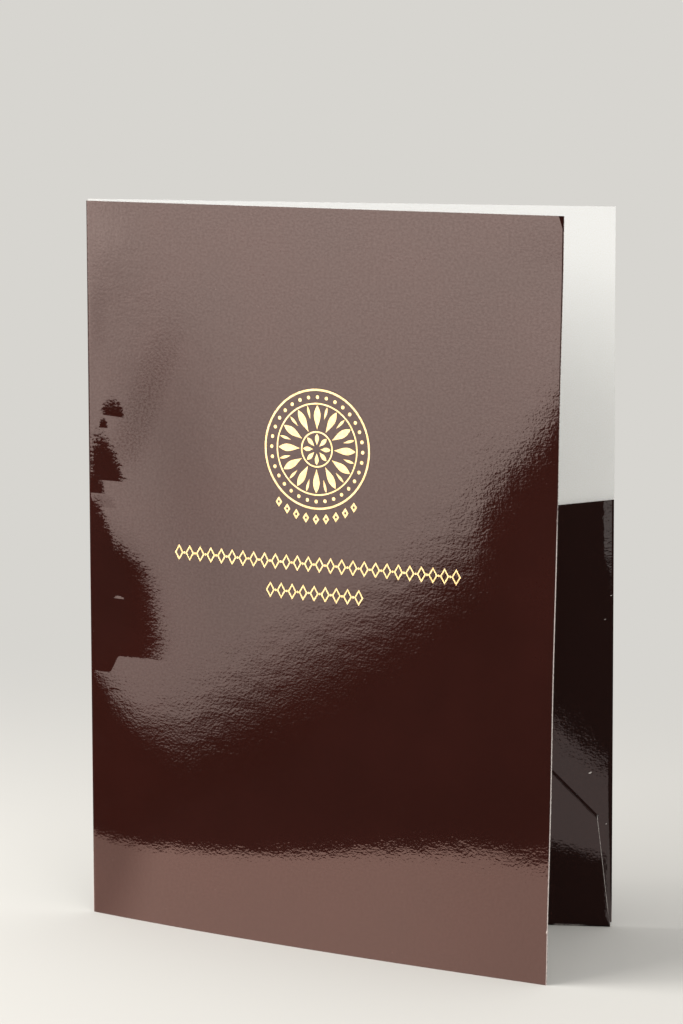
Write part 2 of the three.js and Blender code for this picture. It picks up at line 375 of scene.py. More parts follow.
# %%
# Covers and crease as one grid
front_a = spread([220, 212, 40, 4, 0], [1, 2.4, 1.5, 0.5])
ARC_STEPS = 11
arc_t = np.linspace(0, 1, ARC_STEPS + 1)[1:-1]
back_x = spread([0, 0.15, 3, 14, 186, 219.1, 219.4, 220], [1, 1, 3, 4, 0.6, 1, 1]).round(6)
row_stops = [0, 1, 2, 12, SIDE_HEAD, COVER_HEIGHT - 8, COVER_HEIGHT, BACK_HEIGHT]
row_z = spread(row_stops, [1, 1, 2, 2.4, 2.4, 1, 1]).round(6)
fold_row = 1
column_x = np.concatenate([np.zeros(len(front_a) + len(arc_t)), back_x])
heights = np.repeat(row_z[:, None], len(column_x), 1)
heights[fold_row] = HALF_CARD + bottom_fold(column_x)
front_n, arc_n = len(front_a), len(arc_t)
front_z = heights[:, :front_n]
arc_z = heights[:, front_n : front_n + arc_n]
back_z = heights[:, front_n + arc_n :]
front_points = front_plane(front_a[None], front_z)
arc_points = crease_arc(arc_t[None], arc_z)
back_points = settled(back_plane(back_x[None], back_z))
cover_points = np.concatenate([front_points, arc_points, back_points], 1)
sheet_across = np.concatenate([-front_a, np.zeros(arc_n), back_x])
cover_flat = flat_place(sheet_across[None], heights)

cell_x = np.concatenate([np.full(front_n + arc_n, -1.0), back_x[:-1]])[None]
cell_z = row_z[:-1, None]
over_head = (cell_z >= COVER_HEIGHT) & (cell_x < CREASE_GAP / 2)
in_bottom_fold = (cell_z < 1) & (cell_x >= BOTTOM_SPINE_INSET) & (cell_x < FOLD_FORE_END)
in_side_fold = (cell_x >= SIDE_START) & (cell_z >= SIDE_FOOT) & (cell_z < SIDE_HEAD)
cover_keep = ~(over_head | in_bottom_fold | in_side_fold)
print("cover cells", int(cover_keep.sum()))

# %% [markdown]
# A fold of card is a tight half turn. Each flap's grid starts on lines of the back cover, goes
# round its fold in even steps, and then runs across the pocket.

# %%
# Flaps as two grids
FOLD_STEPS = 8
fold_angle = np.linspace(0, np.pi, FOLD_STEPS + 1)
past = spread([0, 34, SIDE_FLAT - SIDE_CORNER, SIDE_FLAT], [1, 2.2, 1])
side_angle = np.concatenate([fold_angle, np.full(len(past) - 1, np.pi)])
side_past = np.concatenate([np.zeros(len(fold_angle)), past[1:]])
side_z = row_z[(row_z >= SIDE_FOOT) & (row_z <= SIDE_HEAD)]
side_points = settled(side_flap(side_angle[None], side_past[None], side_z[:, None]))
side_across = SIDE_START + SIDE_RADIUS * side_angle + side_past
side_flat = flat_place(side_across[None], side_z[:, None])

fold_x = back_x[(back_x >= BOTTOM_SPINE_INSET) & (back_x <= FOLD_FORE_END)]
rise = spread([0, 0.52, 1], [0.03, 0.008])
bottom_angle = np.concatenate([fold_angle, np.full(len(rise) - 1, np.pi)])
bottom_rise = np.concatenate([np.zeros(len(fold_angle)), rise[1:]])
bottom_points = settled(bottom_flap(fold_x[None], bottom_angle[:, None], bottom_rise[:, None]))
bottom_down = -(bottom_angle[:, None] + bottom_rise[:, None] * BOTTOM_HEIGHT)
bottom_flat = flat_place(fold_x[None], bottom_down)
patches = [
    patch(cover_points, cover_flat, cover_keep),
    patch(side_points, side_flat, all_cells(side_points)),
    patch(bottom_points, bottom_flat, all_cells(bottom_points), flip=True),
]
print("patches", [len(quads) for _, _, quads in patches])

# %% [markdown]
# The patches are joined where they meet, and the slit is cut out of the side flap. A boolean
# could cut it, but on an open sheet four straight cuts are simpler and leave clean edges. Then a
# Solidify modifier gives the sheet its thickness, with one material on each side and one on the
# cut edge, which is how laminated card looks.

# %%
# Joining, cutting and thickening
JOIN_DISTANCE = 2e-6
CUT_DISTANCE = 1e-7
SLIT_REACH = 0.004
FLAP_TOLERANCE = 1e-5


def sheet_mesh(name, patches):
    """One mesh of several patches, with the flat places as its UV map."""
    starts = np.cumsum([0] + [len(p[0]) for p in patches[:-1]])
    points = np.concatenate([p[0] for p in patches])
    flat = np.concatenate([p[1] for p in patches]) * MM
    quads = np.concatenate([p[2] + start for p, start in zip(patches, starts)])
    used, quads = np.unique(quads, return_inverse=True)
    quads = quads.reshape(-1, 4)
    mesh = bpy.data.meshes.new(name)
    mesh.from_pydata(to_row(points[used]), [], quads.tolist())
    layer = mesh.uv_layers.new(name="sheet")
    layer.data.foreach_set("uv", flat[used][quads.ravel()].ravel())
    return mesh


def cut_slit(bm, corners):
    """Cuts the four-sided slit out of the side flap's middle plane."""
    flap_y = to_row((0, -SIDE_DEPTH, 0))[1]
    outline = to_row(settled([(x, -SIDE_DEPTH, z) for x, z in corners]))
    low, high = outline.min(0) - SLIT_REACH, outline.max(0) + SLIT_REACH

    def in_reach(face):
        c = face.calc_center_median()
        in_plane = abs(c.y - flap_y) < FLAP_TOLERANCE
        return in_plane and low[0] < c.x < high[0] and low[2] < c.z < high[2]

    def in_slit(face):
        c = face.calc_center_median()
        return in_reach(face) and all((c - p).dot(n) > 0 for p, n in sides)

    sides = []
    for p, q in zip(outline, np.roll(outline, -1, 0)):
        along = q - p
        sides.append((Vector(p), Vector((-along[2], 0, along[0])).normalized()))
    middle = Vector(outline.mean(0))
    sides = [(p, n if (middle - p).dot(n) > 0 else -n) for p, n in sides]
    for point, normal in sides:
        faces = [f for f in bm.faces if in_reach(f)]
        edges = list({e for f in faces for e in f.edges})
        near = list({v for f in faces for v in f.verts}) + edges + faces
        bmesh.ops.bisect_plane(bm, geom=near, plane_co=point, plane_no=normal, dist=CUT_DISTANCE)
    inside = [f for f in bm.faces if in_slit(f)]
    bmesh.ops.delete(bm, geom=inside, context="FACES")
    return len(inside)


def solid_card(mesh, thickness):
    """The mesh as an object with this thickness about its middle plane, and its cut walls."""
    obj = bpy.data.objects.new(mesh.name, mesh)
    bpy.context.scene.collection.objects.link(obj)
    for name in CARD_MATERIALS:
        mesh.materials.append(bpy.data.materials[name])
    thick = obj.modifiers.new("thickness", "SOLIDIFY")
    thick.thickness = thickness
    thick.offset = 0
    thick.material_offset = INSIDE_SLOT
    thick.material_offset_rim = CORE_SLOT
    bpy.context.view_layer.update()
    graph = bpy.context.evaluated_depsgraph_get()
    ready = obj.evaluated_get(graph)
    final = bpy.data.meshes.new_from_object(ready, preserve_all_data_layers=True, depsgraph=graph)
    obj.modifiers.clear()
    obj.data = final
    final.name = mesh.name
    return obj


folded = sheet_mesh("folder_card", patches)
bm = bmesh.new()
bm.from_mesh(folded)
bmesh.ops.remove_doubles(bm, verts=bm.verts, dist=JOIN_DISTANCE)
cut_faces = cut_slit(bm, slit_corners())
bm.to_mesh(folded)
bm.free()
card = solid_card(folded, CARD * MM)
print("card", len(card.data.polygons), "faces, slit took", cut_faces)

# %% [markdown]
# Last touches on the mesh: the slit's own rim is too narrow to show its pale core, so it takes
# the laminate. Sides are shaded smooth and cut edges flat, and the lower edge stands on the
# floor.

# %%
# Finished card
RIM_REACH = (20, 0.35, 20)
SHARP_ANGLE = math.radians(45)
slots = np.zeros(len(card.data.polygons), np.int32)
card.data.polygons.foreach_get("material_index", slots)
centres = np.zeros(len(card.data.polygons) * 3, np.float32)
card.data.polygons.foreach_get("center", centres)
slit_middle = to_row(settled([(x, -SIDE_DEPTH, z) for x, z in slit_corners()])).mean(0)
near_slit = np.abs(centres.reshape(-1, 3) - slit_middle) < np.array(RIM_REACH) * MM
slots[(slots == CORE_SLOT) & near_slit.all(1)] = LAMINATE_SLOT
card.data.polygons.foreach_set("material_index", slots)
card.data.polygons.foreach_set("use_smooth", slots != CORE_SLOT)
card.data.set_sharp_from_angle(angle=SHARP_ANGLE)
places = np.zeros(len(card.data.vertices) * 3, np.float32)
card.data.vertices.foreach_get("co", places)
places = places.reshape(-1, 3)
on_floor = places[:, 2] < 0.1 * MM
places[on_floor, 2] = 0
card.data.vertices.foreach_set("co", places.ravel())
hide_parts("back_cover", "front_cover")
middle_turn = float(opening_at(np.float64(COVER_HEIGHT / 2)))
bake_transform(card)
print("card stands on", int(on_floor.sum()), "corners")

# %% [markdown]
# A procedural material is a formula, and long chains of nodes are hard to read. So a `Field`
# wraps a socket of a node tree and takes plain arithmetic, each sign adding its Math node. Any
# other node comes from the one method `node`.

# %%
# Shader fields
class Field:
    """An output socket of a node tree, with arithmetic on it and on plain numbers."""

    def __init__(self, tree, socket=None):
        self.tree = tree
        self.socket = socket

    def node(self, kind, inputs=(), output=0, **settings):
        """Adds a node with these settings and inputs, and gives one of its outputs."""
        node = self.tree.nodes.new("ShaderNode" + kind)
        for name, value in settings.items():
            setattr(node, name, value)
        for name, value in dict(inputs).items():
            self.feed(node, name, value)
        return Field(self.tree, node.outputs[output])

    def feed(self, node, name, value):
        """Links a field to a node's input, or sets a plain value on it."""
        if isinstance(value, Field):
            self.tree.links.new(value.socket, node.inputs[name])
        else:
            node.inputs[name].default_value = value

    def math(self, operation, *values):
        """A Math node on these values."""
        return self.node("Math", enumerate(values), operation=operation)

    def __add__(self, other):
        return self.math("ADD", self, other)

    def __sub__(self, other):
        return self.math("SUBTRACT", self, other)

    def __rsub__(self, other):
        return self.math("SUBTRACT", other, self)

    def __mul__(self, other):
        return self.math("MULTIPLY", self, other)

    def __truediv__(self, other):
        return self.math("DIVIDE", self, other)

    def __neg__(self):
        return self.math("MULTIPLY", self, -1)

    __radd__ = __add__
    __rmul__ = __mul__

    def least(self, other):
        """The smaller of this and another value."""
        return self.math("MINIMUM", self, other)

    def most(self, other):
        """The larger of this and another value."""
        return self.math("MAXIMUM", self, other)

    def ramp(self, start, end, low=0.0, high=1.0):
        """From low at start to high at end, smoothly, and level outside."""
        inputs = {0: self, 1: start, 2: end, 3: low, 4: high}
        return self.node("MapRange", inputs, interpolation_type="SMOOTHSTEP")

    def mix(self, a, b):
        """The colour a where this is 0 and b where it is 1."""
        return self.node("Mix", {0: self, 6: a, 7: b}, output=2, data_type="RGBA")

    def parts(self):
        """The three parts of a vector."""
        split = self.node("SeparateXYZ", {0: self}).socket.node
        return [Field(self.tree, output) for output in split.outputs]

    def noise(self, vector, scale=1.0, detail=2.0, roughness=0.5):
        """Noise from 0 to 1 at a place."""
        inputs = {"Vector": vector, "Scale": scale, "Detail": detail, "Roughness": roughness}
        return self.node("TexNoise", inputs)

    def place(self, x, y, z=0.0):
        """A vector of three values."""
        return self.node("CombineXYZ", {0: x, 1: y, 2: z})

    def plus(self, other):
        """The sum of this vector and another, at unit length."""
        total = self.node("VectorMath", {0: self, 1: other}, operation="ADD")
        return self.node("VectorMath", {0: total}, operation="NORMALIZE")


TO_MM = 1000


def shader(name):
    """The material's tree as a Field, and its surface node."""
    material = bpy.data.materials.get(name) or bpy.data.materials.new(name)
    material.use_nodes = True
    tree = material.node_tree
    tree.nodes.clear()
    surface = tree.nodes.new("ShaderNodeBsdfPrincipled")
    output = tree.nodes.new("ShaderNodeOutputMaterial")
    tree.links.new(surface.outputs[0], output.inputs[0])
    return Field(tree), surface


def flat_coordinates(field):
    """Across and up on the flat sheet, in millimetres. Across is negative on the front."""
    across, up, _ = field.node("UVMap", uv_map="sheet").parts()
    return across * TO_MM, up * TO_MM


def object_place(field):
    """The place in Object coordinates, in metres."""
    return field.node("TexCoord", output=3)


def srgb(r, g, b):
    """A colour as written in a picture, 0 to 255, as linear values."""
    values = np.array([r, g, b]) / 255
    linear = np.where(values <= 0.04045, values / 12.92, ((values + 0.055) / 1.055) ** 2.4)
    return (*linear.tolist(), 1.0)


print("mid grey is", round(srgb(128, 128, 128)[0], 3), "in linear light")

# %% [markdown]
# Where the sheet was creased, its spine side carries shallow dents. They are far shallower than
# the card is thick, and show only because they turn the gloss's reflection away. Modelled in the
# mesh they would need a very fine grid, so they are slopes, added to the surface's direction.
# Places are in millimetres on the flat sheet, judged from the photograph.

# %%
# Dents by the spine
DENT_SLOPE = 0.13
# Middle and reach across, lower edge, rise above it, share of the grain, depth.
PLAIN_DENTS = [
    (7.2, 2.6, 209.6, 5, 1.0, 1.0),
    (2.5, 5.2, 181.7, 11, 1.0, 1.0),
    (8, 10.5, 194.0, 1.8, 0.5, 1.0),
    (8, 8.0, 187.8, 1.6, 0.5, 1.0),
    (6, 8.0, 175.9, 6, 1.0, 0.6),
]


def dent(a, z, middle, reach, low, rise, grain):
    """1 inside half an ellipse that stands on a sharp lower edge, with a grainy outline."""
    across = (a - middle) / reach
    above = (z - low) / rise
    inside = 1 + grain - across * across - above * above
    return inside.ramp(0, 0.4) * (z - low).ramp(0, 0.5)


def spine_dents(f, a, z):
    """How far the card by the spine leans down where it was creased, as a slope.

    The upper dents are the largest of several at each place, with a ragged side strip. Below
    them come a broad lobe, a wedge at the crease, a short mark, and a spot that leans up.
    """
    streak = f.noise(f.place(a * 0.35, z * 1.0, 5.0), detail=4, roughness=0.75) - 0.5
    fine = f.noise(f.place(a * 0.9, z * 1.5, 9.0), detail=3, roughness=0.7) - 0.5
    grain = streak * 2.2 + fine * 1.6
    slant = (z - 187.4) * 0.2
    upper = dent(a, z, 12.2, 6.8, 214.8 - (a - 12) * 0.06, 8.5, grain)
    upper = upper.most(dent(a + slant, z, 9.2, 8.8, 187.4, 22, grain))
    upper = upper.most(dent(a, z, 8, 13.5, 189.1 - (a - 8) * 0.05, 1.9, grain * 0.5))
    for middle, reach, low, rise, rough, depth in PLAIN_DENTS:
        upper = upper.most(dent(a, z, middle, reach, low, rise, grain * rough) * depth)
    side = ((184 - z) * 0.5 + 4 + grain * 8 - a).most(0.0) * 0.22
    upper = upper.most(side.least(1.0) * (182 - z).ramp(0, 6) * (z - 136).ramp(0, 8))
    below = (z - 128).ramp(-1, 1, 33, 46)
    rise = (z - 128) / below
    out = (a + 3) / 46
    foot = (a - 9).ramp(0, 6, 105.6, 113.0) + streak * 2.4
    lobe = (1.15 + grain * 0.32 - rise * rise - out * out).most(0.0)
    lobe = lobe * (z - foot).ramp(0, 0.8) * z.ramp(131, 165, 0.08, 0.15)
    wedge = ((105 - z) * 0.48 + 1 + grain * 3 - a).most(0.0) * 0.08
    wedge = wedge.least(1.0) * (z - 66).ramp(0, 14) * (107 - z).ramp(0, 2)
    mark = dent(a, z, 12, 3.4, 98.4, 0.9, 0.0) * 0.6
    spot = dent(a, z, 14.5, 3.0, 137.6, 1.6, grain * 0.6)
    lean = (upper * DENT_SLOPE).most(lobe).most(wedge * 0.05).most(mark * 0.1) - spot * 0.14
    return lean * a.ramp(0.2, 0.8)


def pressed(f, a, z):
    """1 in the middle of a slanted, leathery patch above the dents, fading to 0 around it."""
    out = (a - 21 - (z - 206) * 0.42) / 11
    patch = (1 - out * out).most(0.0)
    return patch * (z - 188).ramp(0, 16) * (264 - z).ramp(0, 34)


print("plain dents", len(PLAIN_DENTS))

# %% [markdown]
# Wear on laminated card shows where its film has gone: at cut edges and folds, and in flecks.
# A painted picture could hold it, but masks worked out from the flat sheet stay sharp.

# %%
# Wear
WORN_COLOUR = srgb(214, 206, 200)
# Across, up and size of each fleck.
FLECKS = [(229.7, 66.0, 1.0), (222.9, 44.4, 0.5), (223.8, 132, 0.45), (221.4, 142, 0.45)]


def worn_places(f, across, up):
    """1 where the laminate is worn off: the front's fore edge, the bottom flap's cut end, the
    bottom fold near its fore end, and a few flecks on the pocket."""
    a = -across
    broken = f.noise(f.place(across * 0.4, up * 0.16, 2.0), detail=4, roughness=0.75)
    fine = f.noise(f.place(across * 1.5, up * 1.1, 6.0), detail=3, roughness=0.7)
    fore = (a - 219.95 + broken.ramp(0.5, 0.75) * 0.9).ramp(0, 0.25) * up.ramp(40, 60, 0.9, 0.6)
    fore = fore.most((a - 219.65).ramp(0, 0.2) * 0.65) * (196 - up).ramp(0, 22)
    down = -up
    cut_end = (across - 219.1).ramp(0, 0.1) * down.ramp(6, 12) * fine.ramp(0.35, 0.6, 0.12, 0.75)
    cut_end = cut_end * (across - 219.5).ramp(0, 0.1, 1.0, 0.0)
    fold = (down - 1.7).ramp(0, 0.4) * (3.0 - down).ramp(0, 0.4)
    fold = fold * across.ramp(195, 197) * across.ramp(206, 210, 1.0, 0.0)
    worn = fore.most(cut_end).most(fold * fine.ramp(0.35, 0.6) * 0.5)
    for fleck_across, fleck_up, size in FLECKS:
        dx = (across - fleck_across) / size
        dz = (up - fleck_up + (across - fleck_across) * 0.4) / (size * 0.5)
        spot = (1.6 - dx * dx - dz * dz - fine).ramp(0.5, 0.9)
        worn = worn.most(spot)
    return worn


print("flecks", len(FLECKS))

# %% [markdown]
# The outside is printed dark brown and covered with a glossy film, which follows the card's
# fibres in a fine orange peel. A clear coat over a dull base gives that: the coat mirrors what
# is round it, and the base keeps its colour. The film's slopes feed the direction of both. So do
# turns of that direction where the flaps spring up a little, the crease rounds away, and the
# cover's tip and fore edge are bent.

# %%
# Laminate
LAMINATE_COLOUR = srgb(41, 17, 13)
LAMINATE_WARM = srgb(45, 19, 15)
# A darker, duller copy of the brown for the flaps: painted shade for the pocket, which lies in shadow.
FLAP_PAINTED_SHADE = srgb(35, 19, 16)
DUST_COLOUR = srgb(170, 150, 140)
PEEL_HEIGHT = 1.7e-5
SWELL_SHARE = 2.2
FLAP_SPRING = 0.06
STREAK_TURN = 0.11
TIP_TURN = 0.4
HEM_TURN = 0.2
CREASE_TURN = 0.2


def laminate_material():
    """Glossy laminated card.

    `flap` is 1 on the pocket's flaps and `front` on the front cover. `tip` and `hem` are the
    front cover's bent corner and fore edge, `streak` a strip of the side flap by its fold, and
    `turn` how far each of them turns the surface. The flaps take a darker, duller copy of the
    brown: painted shade for the pocket, which lies in the front cover's shadow.
    """
    f, surface = shader("laminate")
    across, up = flat_coordinates(f)
    a = -across
    peel = f.noise(f.place(across * 0.75, up * 0.95), detail=1, roughness=0.6)
    swell = f.noise(f.place(across * 0.1, up * 0.14, 3.0), detail=2)
    leather = pressed(f, a, up)
    height = peel * (leather * 0.8 + 1) + swell * SWELL_SHARE
    bump = f.node("Bump", {"Height": height, "Distance": PEEL_HEIGHT, "Strength": 1.0})
    flap = (across - 219.6).ramp(0, 0.6).most((-up).ramp(0.4, 1.2))
    front = a.ramp(-0.3, 0.3)
    tip = ((a - 220) * 1.2 + (up - 305) * 0.42).ramp(-2.8, -2.4)
    hem = (a - 219.4 + (up - 305) * 0.003).ramp(0, 0.2) * (up - 182).ramp(0, 20)
    lean = spine_dents(f, a, up) * front
    fuzz = f.noise(f.place(across * 0.9, up * 0.25, 5.0), detail=3, roughness=0.7) - 0.5
    streak = (across - 221.4 + fuzz).ramp(0, 0.8) * (226.5 - across + fuzz * 3).ramp(0, 3.5)
    streak = streak * up.ramp(132, 176) * flap
    crease = a.ramp(0.0, 1.4, CREASE_TURN, 0.0)
    turn = flap * FLAP_SPRING + streak * STREAK_TURN
    turn = turn + (tip * TIP_TURN + hem * HEM_TURN - crease) * front
    facing = bump.plus(f.place(turn, 0.0, -lean))
    f.feed(surface, "Normal", facing)
    f.feed(surface, "Coat Normal", facing)
    blotch = f.noise(f.place(across * 0.02, up * 0.02, 7.0), detail=3)
    colour = blotch.ramp(0.35, 0.7).mix(LAMINATE_COLOUR, LAMINATE_WARM)
    dust = f.noise(f.place(across * 1.3, up * 1.3, 1.0), detail=1).ramp(0.8, 0.84)
    colour = (dust * 0.35).mix(colour, DUST_COLOUR)
    # Painted shade: the flaps, in the front cover's shadow, take a darker copy of the brown.
    colour = flap.mix(colour, FLAP_PAINTED_SHADE)
    worn = worn_places(f, across, up)
    f.feed(surface, "Base Color", worn.mix(colour, WORN_COLOUR))
    mottle = f.noise(f.place(across * 0.8, up * 1.2, 11.0), detail=1, roughness=0.7)
    shade = leather * mottle.ramp(0.3, 0.6, 0.34, 0.1)
    gloss = mottle.ramp(0.25, 0.75, up.ramp(60, 120, 0.88, 0.78), 1.0)
    # Painted shade: low on the front cover, towards its fore edge, the coat is made thinner, which dims
    # its reflection there.
    gloss = gloss * (1 - a.ramp(140, 215, 0.0, 0.11) * up.ramp(55, 80, 1.0, 0.0))
    f.feed(surface, "Coat Weight", gloss * (1 - worn) * (1 - shade))
    surface.inputs["Specular IOR Level"].default_value = 0.0
    surface.inputs["Roughness"].default_value = 0.5
    surface.inputs["Coat Roughness"].default_value = 0.04
    surface.inputs["Coat IOR"].default_value = 1.53


laminate_material()
print("laminate", len(bpy.data.materials["laminate"].node_tree.nodes), "nodes")

# %% [markdown]
# The inside of the card is bare white board, and its cut edge shows a pale core with brown
# where the film frays over it. Both are dull, with a fine fibre that breaks up their white.

# %%
# Inside and cut edge
INSIDE_COLOUR = srgb(243, 243, 241)
FIBRE_COLOUR = srgb(236, 235, 229)
CORE_COLOUR = srgb(214, 206, 198)
FRAY_COLOUR = srgb(120, 96, 90)


def inside_material():
    """White uncoated side of the card, with faint fibre."""
    f, surface = shader("inside")
    across, up = flat_coordinates(f)
    fibre = f.noise(f.place(across * 2.2, up * 2.2), detail=3, roughness=0.6)
    colour = fibre.ramp(0.3, 0.7).mix(INSIDE_COLOUR, FIBRE_COLOUR)
    f.feed(surface, "Base Color", colour)
    bump = f.node("Bump", {"Height": fibre, "Distance": 6e-6, "Strength": 1.0})
    f.feed(surface, "Normal", bump)
    surface.inputs["Roughness"].default_value = 0.55


def core_material():
    """The cut edge: pale core with brown where the laminate frays over it."""
    f, surface = shader("core")
    across, up = flat_coordinates(f)
    fray = f.noise(f.place(across * 0.9, up * 0.9), detail=3, roughness=0.7)
    f.feed(surface, "Base Color", fray.ramp(0.42, 0.62).mix(CORE_COLOUR, FRAY_COLOUR))
    surface.inputs["Roughness"].default_value = 0.7


inside_material()
core_material()
print("inside", [round(v, 2) for v in INSIDE_COLOUR], "core", [round(v, 2) for v in CORE_COLOUR])

# %% [markdown]
# Gold foil is pressed on the front cover. A mask in the laminate would be simpler, but its thin
# lines would blur, so each motif is a thin closed shell that follows the bowed cover. The design
# is a plain one of this file's own: a rosette of rings, petals and beads over two bands.

# %%
# Foil motifs
FOIL_RISE = 0.03
ROSETTE = (111.5, 207.5)
ROSETTE_RADIUS = 24.6


def front_normal(a, z):
    """Outward direction of the front cover, across its two directions."""
    step = 0.05
    along = front_plane(a + step, z) - front_plane(a - step, z)
    up = front_plane(a, z + step) - front_plane(a, z - step)
    normal = np.cross(along, up)
    return normal / np.linalg.norm(normal, axis=-1, keepdims=True)


def foil_shells(flat, wrap=False):
    """Closed shells from grids of flat places shaped (copies, rows, columns, 2)."""
    copies, rows, columns = flat.shape[:3]
    a, z = flat[..., 0], flat[..., 1]
    middle, normal = front_plane(a, z), front_normal(a, z)
    layers = [middle + normal * (HALF_CARD + side * FOIL_RISE) for side in (1, -1)]
    points = np.stack(layers, 1).reshape(copies, -1, 3)
    index = np.arange(2 * rows * columns).reshape(2, rows, columns)
    if wrap:
        index = np.concatenate([index, index[:, :, :1]], 2)
    top, low = index
    faces = [
        np.stack([top[:-1, :-1], top[:-1, 1:], top[1:, 1:], top[1:, :-1]], -1).reshape(-1, 4),
        np.stack([low[:-1, :-1], low[1:, :-1], low[1:, 1:], low[:-1, 1:]], -1).reshape(-1, 4),
        np.stack([top[0, 1:], top[0, :-1], low[0, :-1], low[0, 1:]], -1),
        np.stack([top[-1, :-1], top[-1, 1:], low[-1, 1:], low[-1, :-1]], -1),
    ]
    if not wrap:
        faces.append(np.stack([top[:-1, 0], top[1:, 0], low[1:, 0], low[:-1, 0]], -1))
        faces.append(np.stack([top[1:, -1], top[:-1, -1], low[:-1, -1], low[1:, -1]], -1))
    quads = np.concatenate(faces)
    starts = np.arange(copies)[:, None, None] * points.shape[1]
    return points.reshape(-1, 3), (quads[None] + starts).reshape(-1, 4)


def rings(centres, inner, outer, power=1.0, count=48):
    """Rings about some centres between two (width, height) half sizes. Power 1 gives ellipses
    and power 2 lozenges: each point is the half size times |cos| and |sin| to that power."""
    turn = np.linspace(0, 2 * np.pi, count, endpoint=False)
    unit = np.stack([np.sign(f(turn)) * np.abs(f(turn)) ** power for f in (np.cos, np.sin)], -1)
    sizes = np.array([outer, inner], float)
    grid = unit[None] * sizes[:, None, :]
    return np.asarray(centres, float)[:, None, None, :] + grid[None]


def petals(centre, reach, width, count, start=0.0):
    """Petals about a centre, from the inner to the outer reach, widest past their middle."""
    t = np.linspace(0.02, 0.98, 13)
    half = width / 2 * np.sin(np.pi * t**1.3)
    along = lerp(reach[0], reach[1], t)
    local = np.stack([np.stack([along, half * side], -1) for side in (-1, 0, 1)])
    turn = start + np.arange(count) * 2 * np.pi / count
    c, s = np.cos(turn)[:, None, None], np.sin(turn)[:, None, None]
    x = local[None, ..., 0] * c - local[None, ..., 1] * s
    y = local[None, ..., 0] * s + local[None, ..., 1] * c
    return np.stack([x, y], -1) + np.array(centre)


def circle_places(centre, radius, turns):
    """Places on a circle at some angles."""
    return np.stack([centre[0] + radius * np.cos(turns), centre[1] + radius * np.sin(turns)], -1)


def row_places(start, end, height, count):
    """Evenly spaced places in a level row."""
    return np.stack([np.linspace(start, end, count), np.full(count, height)], -1)


print("foil stands", FOIL_RISE, "mm proud of the card")

# %% [markdown]
# The motifs of one ornament are joined into one piece, which rides on the front cover. Repeated
# motifs have few faces each.

# %%
# Foil pieces
def foil_piece(name, shells):
    """One piece of foil of several motifs, riding on the front cover."""
    starts = np.cumsum([0] + [len(p) for p, _ in shells[:-1]])
    points = np.concatenate([p for p, _ in shells])
    quads = np.concatenate([q + start for (_, q), start in zip(shells, starts)])
    mesh = bpy.data.meshes.new(name)
    mesh.from_pydata(to_row(points), [], quads.tolist())
    mesh.materials.append(bpy.data.materials["foil"])
    obj = bpy.data.objects.new(name, mesh)
    bpy.context.scene.collection.objects.link(obj)
    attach(obj, "front")


def disc(centres, radius):
    """Small filled discs."""
    return foil_shells(rings(centres, (0.02, 0.02), (radius, radius), count=20), wrap=True)


def hoop(centre, radius, width):
    """One thin round line."""
    sizes = (radius - width, radius - width), (radius, radius)
    return foil_shells(rings([centre], *sizes, count=120), wrap=True)


bpy.data.materials.new("foil").use_nodes = True
print("foil material made")

# %% [markdown]
# The rosette's rings are drawn from the outside in, with beads between the outer two and petals
# between the inner two. The bands are rows of lozenges with a dot between neighbours.

# %%
# Rosette and bands
BEADS = 32
PETALS = 12
ring_turns = np.arange(BEADS) * 2 * np.pi / BEADS
hanging = np.radians(np.linspace(232, 308, 9))
drop_places = circle_places(ROSETTE, 28.6, hanging)
rosette = [
    hoop(ROSETTE, ROSETTE_RADIUS, 0.8),
    hoop(ROSETTE, 18.9, 0.6),
    hoop(ROSETTE, 7.4, 0.6),
    disc(circle_places(ROSETTE, 21.3, ring_turns), 0.75),
    foil_shells(petals(ROSETTE, (7.9, 18.0), 3.0, PETALS)),
    foil_shells(petals(ROSETTE, (12.6, 18.0), 1.1, PETALS, start=np.pi / PETALS)),
    foil_shells(petals(ROSETTE, (1.6, 6.4), 1.8, 8)),
    foil_shells(rings(drop_places, (0.6, 0.8), (1.5, 2.1), power=2.0, count=24), wrap=True),
]
foil_piece("foil_rosette", rosette)
first_row = row_places(45.4, 176.2, 160.3, 26)
second_row = row_places(90.2, 132.0, 148.4, 9)
lozenges = np.concatenate([first_row, second_row])
between = np.concatenate([(row[1:] + row[:-1]) / 2 for row in (first_row, second_row)])
bands = [
    foil_shells(rings(lozenges, (1.35, 2.3), (2.1, 3.3), power=2.0, count=32), wrap=True),
    disc(between, 0.5),
]
foil_piece("foil_bands", bands)

# %% [markdown]
# Foil is metal a few micrometres thick, pressed into the card's grain. A fully metallic surface
# with a satin roughness keeps it pale from most sides, as the real one is.

# %%
# Foil material
FOIL_LIGHT = srgb(250, 239, 184)
FOIL_DEEP = srgb(240, 226, 162)


def foil_material():
    """Pale gold foil: a satin metal, a little uneven in colour and gloss."""
    f, surface = shader("foil")
    press = f.noise(object_place(f), scale=900, detail=3, roughness=0.6)
    surface.inputs["Metallic"].default_value = 1.0
    f.feed(surface, "Base Color", press.ramp(0.3, 0.7).mix(FOIL_LIGHT, FOIL_DEEP))
    f.feed(surface, "Roughness", press.ramp(0.3, 0.7, 0.36, 0.5))
    bump = f.node("Bump", {"Height": press, "Distance": 1.5e-5, "Strength": 1.0})
    f.feed(surface, "Normal", bump)


foil_material()
print("foil colours", [tuple(round(v, 2) for v in c[:3]) for c in (FOIL_LIGHT, FOIL_DEEP)])

# %% [markdown]
# A dark folder reads best on plain pale ground. The floor is dull, and far behind the folder
# it turns, for the camera only, into the backdrop's colour, so that no horizon shows.

# %%
# Floor
FLOOR_COLOUR = srgb(199, 196, 189)
BACKDROP_COLOUR = srgb(215, 213, 208)


